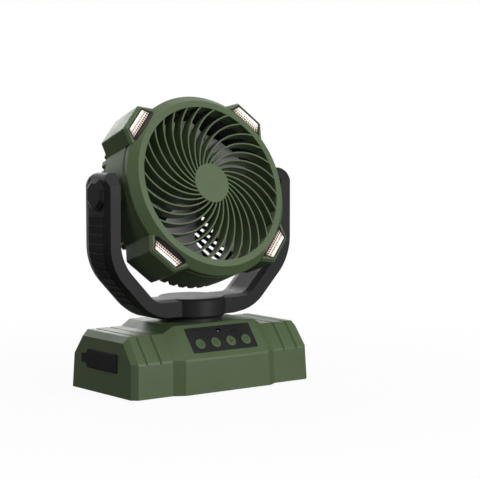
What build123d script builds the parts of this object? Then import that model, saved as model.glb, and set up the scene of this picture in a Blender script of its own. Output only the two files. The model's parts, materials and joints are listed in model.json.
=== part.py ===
"""Portable camping fan: base with battery and controls, swivelling yoke, tilting fan head with four lamps.

Millimetres. +Z is up, the fan blows towards -Y, +X is to the right of someone facing it.
The origin is the middle of the footprint, on the surface the feet stand on.
"""
import os
from math import atan, cos, degrees, hypot, pi, radians, sin, tan

from build123d import *

# ---------------------------------------------------------------- driving dimensions: base
foot_height = 1.2            # the rubber feet hold the shell this far off the table
base_length = 220.0
wing_depth = 115.1
block_depth = 128.1          # the centre block stands proud of the wings, front and back
block_length = 127.4
block_corner_run = 11.2      # slanted step between block and wing, along X
block_corner_depth = 6.5     # and along Y
wing_corner_run = 5.7
wing_corner_depth = 5.25
wall_height = 34.3           # upright part of the sides, above the shell's rim
wing_height = 59.1
block_height = 65.5
side_slope = 52.2            # degrees from level, sloping front and back
wall_draft = 1.65
end_lean = 2.4               # the ends lean in by this much up to the wings' top
end_chamfer_run = 6.0
end_chamfer_drop = 5.6
block_side_run = 11.0        # the block's top falls to the wings over this run
bend_radius = 6.0
edge_radius = 1.2
base_wall = 2.8
groove_x = (76.6, 93.0)
groove_width = 3.2
groove_depth = 1.7
cover_thickness = 2.6
cover_gap = 0.3
foot_radius = 6.5
foot_x = 88.0
foot_y = 40.0
screw_x = 70.0
screw_y = 44.0
screw_radius = 1.5
screw_head_radius = 2.8
screw_length = 10.0
post_radius = 3.6
board_post_radius = 2.2

# ---------------------------------------------------------------- driving dimensions: controls
panel_length = 80.4
panel_height = 28.8
panel_rise = 6.8             # from the slope's foot to the panel's lower edge
panel_shift = 1.4
panel_depth = 1.2
panel_corner = 2.0
button_radius = 5.7
button_pitch = 18.9
button_rise = 9.7            # from the panel's lower edge to the buttons' centres
button_stand = 1.2
button_travel = 0.8
button_gap = 0.3
button_flange = 0.8
plunger_radius = 1.7
running_clearance = 0.05
indicator_pitch = 6.1
indicator_radius = 0.65
indicator_rows = (21.0, 26.2)
receiver_radius = 2.4
receiver_rise = 24.0
board_thickness = 1.6
switch_size = 6.0
switch_height = 3.4
board_drop = 9.5             # from the slope's surface to the control board's top

# ---------------------------------------------------------------- driving dimensions: port end
port_length = 54.7
port_height = 18.4
port_middle = 31.8           # above the shell's rim
port_corner = 3.0
port_proud = 0.8
port_gap = 0.25
port_lid = 1.8               # how far the lid reaches into its recess
tether_length = 9.4
tether_height = 9.4
plate_thickness = 2.0

# ---------------------------------------------------------------- driving dimensions: battery
cell_radius = 9.2
cell_length = 65.0
cell_wall = 1.6
cell_gap = 0.6
main_board_x = 72.0
main_board_length = 46.0
main_board_width = 66.0

# ---------------------------------------------------------------- driving dimensions: hanging hook
hook_radius = 2.8
hook_pin_radius = 2.0
hook_axis_y = -22.0
hook_bail_half = 32.0        # half the distance between the hook's feet
hook_shoulder = 15.0         # half the length of the bail's upper bar
hook_neck = 21.5             # from the axis to the bail's upper bar
hook_length = 73.0           # from the axis to the middle of the rod's top
hook_bow = 22.5              # how far the bow stands out to the right
hook_nose = 27.5             # and to the left
hook_bend = 5.0
tray_margin = 3.5
tray_depth = 9.6
tray_wall = 1.8

# ---------------------------------------------------------------- driving dimensions: yoke
yoke_width = 228.0           # over the outer faces
yoke_depth = 44.0
yoke_face = 28.0             # depth of the flat outer face between the bevels
yoke_bevel = 2.2
yoke_inner = 195.4           # between the arms
yoke_bottom = 69.4           # above the shell's rim
bar_height = 19.6
leg_angle = 46.5             # of the slanted legs, from level
leg_foot_x = 62.5            # where the slanted outer face meets the bottom plane
leg_thickness = 17.6
outer_bend = 56.0
inner_bend = 45.0
outer_foot_bend = 52.0
inner_foot_bend = 18.0
arm_top = 217.3
arm_shoulder = 205.1
arm_crown = 19.2             # depth left at the very top
arm_corner = 9.0             # rounding of the arms' outer top corners
boss_radius = 35.0
collar_radius = 31.4
swivel_gap = 0.4
spindle_radius = 9.0
spindle_bore = 5.5
bush_wall = 2.5
spindle_drop = 16.0          # below the top wall of the base
nut_height = 5.0
washer_height = 1.6
grip_depth = 28.0
grip_inset = 1.2
grip_steps = 12
grip_step = 7.2              # height of one sloping step, along the arm
grip_rise = 0.9              # how far the step's upper edge stands out
grip_first = 1.1             # from the grip's top to its first step
grip_pitch = 9.05
grip_corner = 3.0
grip_top = 176.0
grip_end_x = 66.0
cap_height = 3.6
cap_length = 31.0
cap_width = 29.0
cap_taper = 4.2
cap_rise = 2.9

# ---------------------------------------------------------------- driving dimensions: head
pivot_height = 193.1         # above the shell's rim
rest_tilt = 19.45            # degrees above level
ring_front = 38.2            # from the tilt axis to the face of the ring
ring_outer = 86.4
ring_inner = 79.8
hub_radius = 20.25
head_radius = 93.8
bevel_back = 29.5
parting = 22.0
head_back = -15.0
shell_wall = 2.4
duct_wall = 2.2
fin_count = 30
fin_thickness = 1.5
fin_front = 37.7
fin_depth = 12.5
fin_root = 10.0              # degrees round the axis at the hub
fin_middle_radius = 50.0
fin_middle = -24.0           # at the middle radius
fin_tip = -48.8              # at the ring
fin_phase = 2.1
skirt_flare = 0.7            # the front ring's skirt narrows by this much down to the parting
parting_chamfer = 0.5
liner_wall = 1.2
liner_gap = 0.05
liner_front = 24.9
pod_turn = 0.97              # the lamp pods stand this far round from the diagonals
pod_front = 32.0
pod_shoulder = 28.7          # where the walls end and the front bevel starts
pod_reach = 104.9
pod_reach_back = 103.4
pod_half = 16.1              # half the width of the outer face
pod_flare = 0.68             # the sides spread by this much per millimetre towards the axis
pod_foot = 90.0
pod_corner = 2.6
pod_bevel = 2.7
pod_side_bevel = 2.3
pod_back_trim = 0.4          # the sides close in by this much towards the back
pod_back_bevel = 0.6
pod_pocket = 16.0
lens_outer = 100.6
lens_inner = 90.8
lens_outer_half = 14.65
lens_inner_half = 18.7
lens_floor = 28.0
lens_top = (31.0, 31.8)      # the lens rises outwards, from its inner to its outer edge
lens_ledge = 1.2             # width of the step that carries the lens
bezel_width = 0.45           # the bezel's rim round the lens
wedge_reach = 88.6           # the bezel's wedge runs up to the ring from here
wedge_half = 19.4
wedge_corner = 1.8
part_gap = 0.15
rear_rim_inner = 84.5
rear_rim_outer = 90.4
rear_teeth = 68
rear_tooth_reach = 93.8
rear_tooth_width = 4.3
rear_depth = 9.0
rear_plate = 2.4
rear_rows = 6
rear_row_first = 29.4
rear_row_pitch = 9.7
rear_slot_length = 7.2
rear_slot_width = 3.8
rear_slot_pitch = 8.6
seat_radius = 24.0
seat_drop = 3.0              # the motor's seat stays this far under the housing's back
motor_radius = 16.5
motor_front = 12.0
shaft_radius = 2.0
blade_count = 7
blade_tip = 75.0
impeller_hub = 20.0
impeller_front = 19.0
impeller_back = -11.0
blade_thickness = 1.6
blade_phase = -8.5
blade_sections = ((18.5, 31.0, -47.0, 0.0), (45.0, 41.0, -36.0, 1.9), (76.5, 66.0, -21.0, 19.0))
nut_radius = 4.0
pivot_boss_radius = 14.0
pivot_gap = 0.4
stub_radius = 6.0
stub_reach = 6.5
stub_end_gap = 0.6

# ---------------------------------------------------------------- worked out from the above
rim_z = foot_height
wall_top = rim_z + wall_height
wing_top = rim_z + wing_height
block_top = rim_z + block_height
slope_run = 1 / tan(radians(side_slope))
block_face = block_depth / 2 - wall_draft
panel_place = Pos(0, -block_face, wall_top) * Rot(X=side_slope)
pivot_z = rim_z + pivot_height
head_place = Pos(0, 0, pivot_z) * Rot(X=90 - rest_tilt)
arm_inner = yoke_inner / 2
arm_outer = yoke_width / 2

upright = (Align.CENTER, Align.CENTER, Align.MIN)
hanging = (Align.CENTER, Align.CENTER, Align.MAX)

os.makedirs("parts", exist_ok=True)
nodes = {}


def keep(name, shape):
    """Store one named piece."""
    nodes[name] = shape


def octagon(half_x, half_y, run, depth, z):
    """A level rectangle with its four corners cut."""
    points = [(half_x, half_y - depth), (half_x - run, half_y), (run - half_x, half_y), (-half_x, half_y - depth)]
    points += [(-x, -y) for x, y in points]
    return Pos(0, 0, z) * make_face(Polyline(*points, close=True))


def mirror_x(shape):
    """The same piece on the other side."""
    return mirror(shape, about=Plane.YZ)


def rounded_plate(length, height, radius, thickness):
    """A flat plate with rounded corners, its upper face at zero."""
    return extrude(RectangleRounded(length, height, radius), -thickness)


# ---------------------------------------------------------------- base
def end_x(half_x, z):
    """Where an end face that stands at half_x on the rim has leaned to at height z."""
    return half_x - end_lean * (z - rim_z) / wing_height


def hipped(half_x, half_y, run, depth, top, inset, floor):
    """Upright walls with draft, then sloping front and back up to a level top."""
    crown_z = top - inset
    floor_y = half_y - wall_draft * (floor - rim_z) / wall_height
    crown_y = half_y - wall_draft - (crown_z - wall_top) * slope_run
    walls = octagon(end_x(half_x, floor) - inset, floor_y - inset, run, depth, floor)
    bend = octagon(end_x(half_x, wall_top) - inset, half_y - wall_draft - inset, run, depth, wall_top)
    crown = octagon(end_x(half_x, crown_z) - inset, crown_y - inset, run, depth, crown_z)
    lower = loft([walls, bend], ruled=True)
    upper = loft([bend, crown], ruled=True)
    return lower + upper


def end_cutters(x_top, z_top, run, drop):
    """Two prisms that take off the top edge at both ends."""
    reach = 4 * run
    profile = Polyline((x_top - run, z_top), (x_top - run, z_top + reach), (x_top + reach, z_top + reach),
                       (x_top + reach, z_top - drop - drop / run * reach), close=True)
    prism = extrude(Plane.XZ * make_face(profile), wing_depth, both=True)
    return prism + mirror_x(prism)


def long_bends(body, half_y):
    """The front and back edges where the walls turn into the slopes."""
    return [e for e in body.edges().filter_by(Axis.X)
            if abs(e.center().Z - wall_top) < 0.01 and abs(abs(e.center().Y) - half_y) < 0.01]


def wing_form(inset=0.0, floor=rim_z):
    half_x, half_y = base_length / 2, wing_depth / 2
    body = hipped(half_x, half_y, wing_corner_run, wing_corner_depth, wing_top, inset, floor)
    if not inset:
        body = fillet(long_bends(body, half_y - wall_draft), bend_radius)
    crown_x = end_x(half_x, wing_top - inset) - inset
    return body - end_cutters(crown_x, wing_top - inset, end_chamfer_run, end_chamfer_drop)


def block_form(inset=0.0, floor=rim_z):
    half_x, half_y = block_length / 2, block_depth / 2
    body = hipped(half_x, half_y, block_corner_run, block_corner_depth, block_top, inset, floor)
    if not inset:
        body = fillet(long_bends(body, half_y - wall_draft), bend_radius)
    crown_x = end_x(half_x, block_top - inset) - inset
    return body - end_cutters(crown_x, block_top - inset, block_side_run, block_top - wing_top)


def groove(x, y0, z0, y1, z1):
    """A V-shaped cutter along a straight line on the surface, its mouth outwards."""
    along = Vector(0, y1 - y0, z1 - z0)
    plane = Plane(origin=(x, y0, z0), x_dir=(1, 0, 0), z_dir=along)
    outward = 1 if plane.y_dir.Z > 0 else -1
    half = groove_width / 2
    mouth = outward * groove_depth / 2
    tip = -outward * groove_depth
    wide = half * (1 + abs(mouth / tip))
    return extrude(plane * make_face(Polyline((-wide, mouth), (wide, mouth), (0, tip), close=True)), along.length)


def wing_grooves():
    """Grooves that run over the wings' tops and down both slopes."""
    crown_y = wing_depth / 2 - wall_draft - (wing_top - wall_top) * slope_run
    past = 9.0
    foot_y, foot_z = wing_depth / 2 - wall_draft + past * slope_run, wall_top - past
    lead = 0.8
    cutters = []
    for x in groove_x:
        for side in (1, -1):
            cutters.append(groove(side * x, crown_y, wing_top, -crown_y, wing_top))
            for face in (1, -1):
                cutters.append(groove(side * x, face * (crown_y - lead * slope_run), wing_top + lead,
                                      face * foot_y, foot_z))
    return cutters


def on_panel(x, rise, drop=0.0):
    """A place on the sloping face, counted from the panel's lower edge, sunk by drop."""
    return panel_place * Pos(panel_shift + x, panel_rise + rise, -drop)


button_xs = [(i - 1.5) * button_pitch for i in range(4)]
button_names = ["timer", "power", "speed", "light"]
indicator_xs = [-1.5 * button_pitch + i * indicator_pitch for i in range(4)]
indicator_spots = [(x, indicator_rows[1]) for x in indicator_xs]
indicator_spots += [(-x, indicator_rows[1]) for x in indicator_xs]
indicator_spots += [(-x, indicator_rows[0]) for x in indicator_xs]
indicator_spots += [(indicator_xs[0], indicator_rows[0])]

board_posts = [(side * (panel_length / 2 - 5.2), rise) for side in (1, -1) for rise in (2.8, panel_height - 3.5)]

port_z = rim_z + port_middle
port_recess = base_wall * cos(atan(end_lean / wing_height))
end_slope = degrees(atan(end_lean / wing_height))
port_place = Pos(-end_x(base_length / 2, port_z), 0, port_z)
port_place = port_place * Rot(Y=-90 + end_slope) * Rot(Z=-90)

hook_z = rim_z + tray_depth / 2 + 0.2
tray_x = hook_bail_half + hook_radius + tray_margin
tray_y = (hook_axis_y - hook_radius - tray_margin, hook_axis_y + hook_length + hook_radius + tray_margin)
cover_top = rim_z + cover_thickness
tray_roof = rim_z + tray_depth + tray_wall


def base_shell():
    body = wing_form() + block_form()
    for cutter in wing_grooves():
        body -= cutter
    body -= wing_form(base_wall, rim_z - 1) + block_form(base_wall, rim_z - 1)
    # seat of the control panel and the holes behind it
    seat = on_panel(0, panel_height / 2) * rounded_plate(panel_length, panel_height, panel_corner, panel_depth)
    body -= seat
    for x in button_xs:
        body -= on_panel(x, button_rise) * Cylinder(button_radius + button_flange + button_gap, 2 * base_wall + 2)
    body -= on_panel(0, receiver_rise) * Cylinder(receiver_radius + 1, 2 * base_wall + 2)
    row = max(abs(x) for x, _ in indicator_spots)
    for low, rise in ((-row, indicator_rows[1]), (-indicator_xs[-1], indicator_rows[1])):
        middle = low + 1.5 * indicator_pitch
        body -= on_panel(middle, sum(indicator_rows) / 2) * Box(4 * indicator_pitch, 8.0, 2 * base_wall + 2)
    # port recess in the left end, open to the sockets
    recess = rounded_plate(port_length + 2 * port_gap, port_height + 2 * port_gap, port_corner, 2 * base_wall)
    body -= port_place * recess
    # posts for the cover's screws and for the control board
    core = wing_form(base_wall / 2, rim_z - 1) + block_form(base_wall / 2, rim_z - 1)
    for x in (screw_x, -screw_x):
        for y in (screw_y, -screw_y):
            post = Pos(x, y, cover_top) * Cylinder(post_radius, block_height, align=upright)
            body += post & core
            body -= Pos(x, y, rim_z) * Cylinder(screw_radius, screw_length + 2, align=upright)
    for x, rise in board_posts:
        post = Cylinder(board_post_radius, board_drop - base_wall / 2, align=hanging)
        body += on_panel(x, rise, base_wall / 2) * post
    return body


def build_base():
    shell = base_shell()
    seat_z = block_top - base_wall
    shell -= Pos(0, 0, seat_z) * Cylinder(spindle_radius + bush_wall, 4 * base_wall)
    keep("base_shell", shell)
    # bottom cover with the hook tray
    gap = base_wall + cover_gap
    plan = octagon(base_length / 2 - gap, wing_depth / 2 - gap, wing_corner_run, wing_corner_depth, rim_z)
    plan += octagon(block_length / 2 - gap, block_depth / 2 - gap, block_corner_run, block_corner_depth, rim_z)
    cover = extrude(plan, cover_thickness)
    tray_w, tray_d = 2 * tray_x, tray_y[1] - tray_y[0]
    tray_c = (tray_y[0] + tray_y[1]) / 2
    inner = Pos(0, tray_c, rim_z + tray_depth / 2) * Box(tray_w, tray_d, tray_depth)
    outer = Pos(0, tray_c, rim_z + (tray_depth + tray_wall) / 2)
    outer = outer * Box(tray_w + 2 * tray_wall, tray_d + 2 * tray_wall, tray_depth + tray_wall)
    ear_y = hook_axis_y
    cover = cover + outer - inner
    for side in (1, -1):
        ear = Pos(side * (tray_x - tray_margin / 2 + 0.4), ear_y, rim_z + tray_depth / 2)
        cover += ear * Box(tray_margin - 0.8, 10, tray_depth)
    pin_hole = Pos(0, ear_y, hook_z) * Rot(Y=90)
    cover -= pin_hole * Cylinder(hook_pin_radius + running_clearance, 2 * (tray_x + tray_wall))
    for x in (screw_x, -screw_x):
        for y in (screw_y, -screw_y):
            cover -= Pos(x, y, rim_z) * Cylinder(screw_radius, 4 * cover_thickness)
            cover -= Pos(x, y, rim_z + 0.6) * Cylinder(screw_head_radius + 0.2, 1.6)
    for x in (main_board_x - main_board_length / 2 + 5, main_board_x + main_board_length / 2 - 5):
        for y in (main_board_width / 2 - 5, 5 - main_board_width / 2):
            cover += Pos(x, y, rim_z) * Cylinder(board_post_radius, tray_roof - rim_z, align=upright)
    keep("base_bottom_cover", cover)
    # feet and screws
    foot = Cylinder(foot_radius, foot_height, align=upright)
    foot = chamfer(foot.edges().sort_by(Axis.Z)[0], 0.4)
    keep("rubber_feet", Compound([Pos(x, y, 0) * foot for x in (foot_x, -foot_x) for y in (foot_y, -foot_y)]))
    shank = Pos(0, 0, rim_z + 1.3) * Cylinder(screw_radius, screw_length - 1.3, align=upright)
    head = Pos(0, 0, rim_z) * Cylinder(screw_head_radius, 1.4, align=upright)
    slot = Pos(0, 0, rim_z) * (Box(3.2, 0.8, 1.2) + Box(0.8, 3.2, 1.2))
    screw = head + shank - slot
    keep("base_screws", Compound([Pos(x, y, 0) * screw for x in (screw_x, -screw_x) for y in (screw_y, -screw_y)]))


def build_controls():
    panel = on_panel(0, panel_height / 2) * rounded_plate(panel_length - 0.2, panel_height - 0.2, panel_corner,
                                                          panel_depth)
    for x in button_xs:
        panel -= on_panel(x, button_rise) * Cylinder(button_radius + button_gap, 4 * panel_depth)
    for x, rise in indicator_spots:
        panel -= on_panel(x, rise) * Cylinder(indicator_radius, 4 * panel_depth)
    panel -= on_panel(0, receiver_rise) * Cylinder(receiver_radius, 4 * panel_depth)
    keep("control_panel", panel)
    board_z = board_drop
    board = on_panel(0, panel_height / 2, board_z) * rounded_plate(panel_length - 8, panel_height - 2, 1.0,
                                                                   board_thickness)
    keep("control_board", board)
    # lens over the infrared receiver: a shallow dome
    dome = Cylinder(receiver_radius, board_drop - 0.1, align=hanging)
    dome += Pos(0, 0, -receiver_radius * 1.4) * Sphere(receiver_radius * 1.72) & Cylinder(receiver_radius, 4)
    keep("ir_lens", on_panel(0, receiver_rise) * dome)
    pipe = Cylinder(indicator_radius, board_drop, align=hanging)
    keep("indicator_lights", Compound([on_panel(x, rise) * pipe for x, rise in indicator_spots]))
    # switches with a well for each button's plunger
    well = 1.6
    switch = Box(switch_size, switch_size, switch_height, align=hanging)
    top = board_drop - switch_height
    hole = Cylinder(plunger_radius + running_clearance, well, align=hanging)
    switch = Pos(0, 0, -top) * (switch - hole)
    keep("tact_switches", Compound([on_panel(x, button_rise) * switch for x in button_xs]))
    cap_bottom = panel_depth + 1.6
    cap = Cylinder(button_radius, button_stand + cap_bottom, align=hanging)
    cap = Pos(0, 0, button_stand) * cap
    cap = chamfer(cap.edges().sort_by(Axis.Z)[-1], 0.5)
    flange = Pos(0, 0, -panel_depth - button_travel / 8)
    flange = flange * Cylinder(button_radius + button_flange, 0.8, align=hanging)
    stem = Pos(0, 0, -cap_bottom) * Cylinder(plunger_radius, top - cap_bottom + 0.5,
                                             align=hanging)
    for name, x in zip(button_names, button_xs):
        keep("button_" + name, on_panel(x, button_rise) * (cap + flange + stem))


def build_ports():
    plate = rounded_plate(port_length + 6, port_height + 6, port_corner, plate_thickness)
    plate = Pos(0, 0, -port_recess) * plate
    sockets = []
    for x, width, height in ((-16, 13.2, 5.8), (2, 9.2, 3.4), (17, 9.0, 9.0)):
        hole = Pos(x, 0, -port_recess) * Box(width, height, 4 * plate_thickness)
        plate -= hole
        body = Pos(x, 0, -port_recess) * Box(width, height, 12, align=hanging)
        mouth = Box(width - 1.0, height - 1.0, 18)
        if width == height:
            body = Pos(x, 0, -port_recess) * Cylinder(width / 2, 12, align=hanging)
            mouth = Cylinder(width / 2 - 1.5, 18)
        body -= Pos(x, 0, -port_recess) * mouth
        tongue_h = 0.7 if height < 5 else 1.9
        tongue = Pos(x, 0, -port_recess - 2) * Box(width * 0.66, tongue_h, 10,
                                                   align=hanging)
        if width == height:
            tongue = Pos(x, 0, -port_recess - 2) * Cylinder(1.0, 10, align=hanging)
        sockets.append(port_place * (body + tongue))
    keep("port_plate", port_place * plate)
    keep("port_sockets", Compound(sockets))
    # rubber cover: a lid with rounded corners and a shallow frame behind it
    lid = rounded_plate(port_length, port_height, port_corner, port_proud + port_lid)
    lid = Pos(0, 0, port_proud) * lid
    lid = fillet(lid.edges().group_by(Axis.Z)[-1], 0.5)
    keep("port_cover", port_place * lid)
    tab = Pos(-(port_length + tether_length) / 2 - port_gap, 0, port_proud * 0.7)
    tab = tab * rounded_plate(tether_length, tether_height, 2.0, port_proud * 0.7)
    keep("port_tether", port_place * tab)


def build_inside():
    spacing = 2 * cell_radius + cell_gap
    cells = []
    for i in range(4):
        y = (i - 1.5) * spacing
        cell = Pos(0, y, tray_roof + cell_wall + cell_radius) * Rot(Y=90) * Cylinder(cell_radius, cell_length)
        cells.append(cell)
    keep("battery_cells", Compound(cells))
    width = 4 * spacing + 2 * cell_wall
    length = cell_length + 2 * cell_wall + 1
    depth = cell_radius + cell_wall
    tray = Pos(0, 0, tray_roof) * Box(length, width, depth, align=upright)
    for i in range(4):
        y = (i - 1.5) * spacing
        tray -= Pos(0, y, tray_roof + cell_wall + cell_radius) * Rot(Y=90) * Cylinder(cell_radius, cell_length + 1)
    keep("battery_holder", tray)
    board = Box(main_board_length, main_board_width, board_thickness, align=upright)
    board = Pos(main_board_x, 0, tray_roof) * board
    keep("main_board", board)
    choke = Cylinder(6, 9, align=upright)
    chip = Box(9, 9, 1.8, align=upright)
    top = tray_roof + board_thickness
    x = main_board_x
    parts = [Pos(x + 10, 20, top) * choke, Pos(x + 10, 4, top) * choke]
    parts += [Pos(x - 10, -12, top) * chip, Pos(x + 8, -20, top) * chip]
    keep("board_parts", Compound(parts))


# ---------------------------------------------------------------- hanging hook
def rod(points, bend):
    """A round rod along a path with tangent bends."""
    path = FilletPolyline(*points, radius=bend)
    start = Plane(origin=path @ 0, z_dir=path % 0)
    return sweep(start * Circle(hook_radius), path=path)


def build_hook():
    """A bail on two pins, and an open bow that rises from its right shoulder."""
    y, z = hook_axis_y, hook_z
    half, shoulder, neck = hook_bail_half, hook_shoulder, hook_neck
    bail = rod([(-half, y, z), (-shoulder, y + neck, z), (shoulder, y + neck, z), (half, y, z)], hook_bend)
    top, bow, nose = hook_length, hook_bow, hook_nose
    arc = rod([(shoulder / 2, y + neck, z), (bow, y + neck + 16.5, z), (bow - 0.5, y + top - 11.5, z),
               (bow / 2 - nose / 2 - 2, y + top, z), (-nose, y + top - 17.5, z), (-nose + 0.5, y + top - 29, z)],
              hook_bend)
    hook = bail + arc + Pos(-nose + 0.5, y + top - 29, z) * Sphere(hook_radius)
    for side in (1, -1):
        foot = Pos(side * half, y, z)
        hook += foot * Sphere(hook_radius)
        pin_length = hook_radius + tray_margin
        hook += Pos(side * pin_length / 2, 0, 0) * foot * Rot(Y=90) * Cylinder(hook_pin_radius, pin_length)
    keep("hanging_hook", hook)


# ---------------------------------------------------------------- yoke
def u_outline(outer):
    """Half of the U: the x and z of its corners, outside or inside."""
    base_z = rim_z + yoke_bottom
    slope = tan(radians(leg_angle))
    shift = leg_thickness / sin(radians(leg_angle))
    if outer:
        side, bottom, foot = arm_outer, base_z, leg_foot_x
        knee = bottom + (side - foot) * slope
        return side, knee, foot, bottom
    side, bottom = arm_inner, base_z + bar_height
    foot = leg_foot_x - shift + bar_height / slope
    knee = bottom + (side - foot) * slope
    return side, knee, foot, bottom


def u_face(trim=0.0):
    """The U seen from the front, its outer edge set in by trim."""
    so, ko, fo, bo = u_outline(True)
    si, ki, fi, bi = u_outline(False)
    top = rim_z + arm_top
    half = radians(leg_angle / 2)
    so, bo, fo = so - trim, bo + trim, fo - trim * tan(half)
    ko = bo + (so - fo) * tan(radians(leg_angle))
    flat = so - arm_corner - 1
    outer = FilletPolyline((-flat, top), (-so, top), (-so, ko), (-fo, bo), (fo, bo), (so, ko), (so, top), (flat, top),
                           radius=[arm_corner, outer_bend, outer_foot_bend, outer_foot_bend, outer_bend, arm_corner])
    inner = FilletPolyline((si, top), (si, ki), (fi, bi), (-fi, bi), (-si, ki), (-si, top),
                           radius=[inner_bend, inner_foot_bend, inner_foot_bend, inner_bend])
    close = [Line((flat, top), (si, top)), Line((-si, top), (-flat, top))]
    return make_face(outer.edges() + inner.edges() + close)


front_plane = Plane(origin=(0, 0, 0), x_dir=(1, 0, 0), z_dir=(0, -1, 0))


def build_yoke():
    face = front_plane * u_face()
    body = extrude(face, yoke_face / 2, both=True)
    side_depth = (yoke_depth - yoke_face) / 2
    taper = degrees(atan(yoke_bevel / side_depth))
    front = Pos(0, -yoke_face / 2, 0) * face
    cheek = extrude(front, side_depth, taper=taper)
    body = body + cheek + mirror(cheek, about=Plane.XZ)
    # the arms' crowns: level top with slanted shoulders
    top, shoulder = rim_z + arm_top, rim_z + arm_shoulder
    deep, crown = yoke_depth, arm_crown / 2
    cutter = make_face(Polyline((crown, top), (crown, top + 20), (deep, top + 20), (deep, shoulder),
                                (yoke_depth / 2, shoulder), close=True))
    cutter = extrude(Plane.YZ * cutter, yoke_width, both=True)
    body = body - cutter - mirror(cutter, about=Plane.XZ)
    # centre boss
    low = rim_z + yoke_bottom
    boss = Pos(0, 0, low) * Cylinder(boss_radius, bar_height, align=upright)
    boss = chamfer(boss.edges().filter_by(GeomType.CIRCLE), yoke_bevel)
    body += boss
    body -= Pos(0, 0, low) * Cylinder(spindle_bore, bar_height - 2, align=upright)
    # bores for the tilt stubs
    body -= Pos(0, 0, pivot_z) * Rot(Y=90) * Cylinder(stub_radius, 2 * yoke_width)
    # seats of the grips
    for grip in (grip_blank(0.0), mirror_x(grip_blank(0.0))):
        body -= grip
    keep("yoke", body)


def grip_blank(gap):
    """The strip sunk into the outer face of the left arm and leg."""
    strip = u_face() - u_face(grip_inset)
    low, high = rim_z + yoke_bottom + 1, rim_z + grip_top
    mask = Pos(-(yoke_width / 2 + grip_end_x) / 2, (low + high) / 2)
    mask = mask * Rectangle(yoke_width / 2 - grip_end_x + 2, high - low)
    strip = strip & mask
    return extrude(front_plane * strip, grip_depth / 2 - gap, both=True)


def grip_plates():
    """Sloping steps across the grip, each proud at its upper edge, spaced along the arm and round the bend."""
    side, knee, foot, bottom = u_outline(True)
    tangent = outer_bend * tan(radians((90 - leg_angle) / 2))
    straight = rim_z + grip_top - (knee + tangent)
    arc_turn = radians(90 - leg_angle)
    arc_length = outer_bend * arc_turn
    tilt = degrees(atan(grip_rise / grip_step))
    outline = Plane.YZ * RectangleRounded(grip_depth - 0.6, grip_step, grip_corner)
    plate = Pos(-grip_rise / 2, 0, 0) * extrude(outline, grip_rise + 0.2)
    plate = Pos(0, 0, -grip_step / 2) * Rot(Y=-tilt) * plate
    steps = []
    for i in range(grip_steps):
        s = grip_first + i * grip_pitch
        if s < straight:
            x, z, turn = -side, rim_z + grip_top - s, 0.0
        elif s < straight + arc_length:
            turn = (s - straight) / outer_bend
            x = -side + outer_bend * (1 - cos(turn))
            z = knee + tangent - outer_bend * sin(turn)
        else:
            turn = arc_turn
            run = s - straight - arc_length
            x = -side + outer_bend * (1 - cos(turn)) + run * sin(turn)
            z = knee + tangent - outer_bend * sin(turn) - run * cos(turn)
        steps.append(Pos(x, 0, z) * Rot(Y=-degrees(turn)) * plate)
    return steps


def build_yoke_trim():
    left = grip_blank(part_gap)
    for step in grip_plates():
        left += step
    keep("grip_left", left)
    keep("grip_right", mirror_x(left))
    # octagonal caps over the tilt axis
    corner = 8.5
    wide = [(cap_width / 2, cap_length / 2 - corner), (cap_width / 2 - corner, cap_length / 2)]
    wide += [(-x, y) for x, y in reversed(wide)]
    wide += [(-x, -y) for x, y in wide]
    scale_w = (cap_width - 2 * cap_taper) / cap_width
    scale_l = (cap_length - 2 * cap_taper) / cap_length
    small = [(x * scale_w, y * scale_l) for x, y in wide]
    plane = Plane(origin=(-arm_outer, 0, pivot_z + cap_rise), x_dir=(0, 1, 0), z_dir=(-1, 0, 0))
    lower = plane * make_face(Polyline(*wide, close=True))
    foot = extrude(lower, 0.9)
    raised = plane.offset(0.9) * make_face(Polyline(*wide, close=True))
    upper = plane.offset(cap_height) * make_face(Polyline(*small, close=True))
    cap = foot + loft([raised, upper], ruled=True)
    keep("pivot_cap_left", cap)
    keep("pivot_cap_right", mirror_x(cap))
    # tilt stubs: through the arm and into the head's boss
    length = arm_outer - (arm_inner - stub_reach)
    stub = Pos(-arm_outer + length / 2, 0, pivot_z) * Rot(Y=90) * Cylinder(stub_radius, length)
    keep("tilt_stub_left", stub)
    keep("tilt_stub_right", mirror_x(stub))


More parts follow.
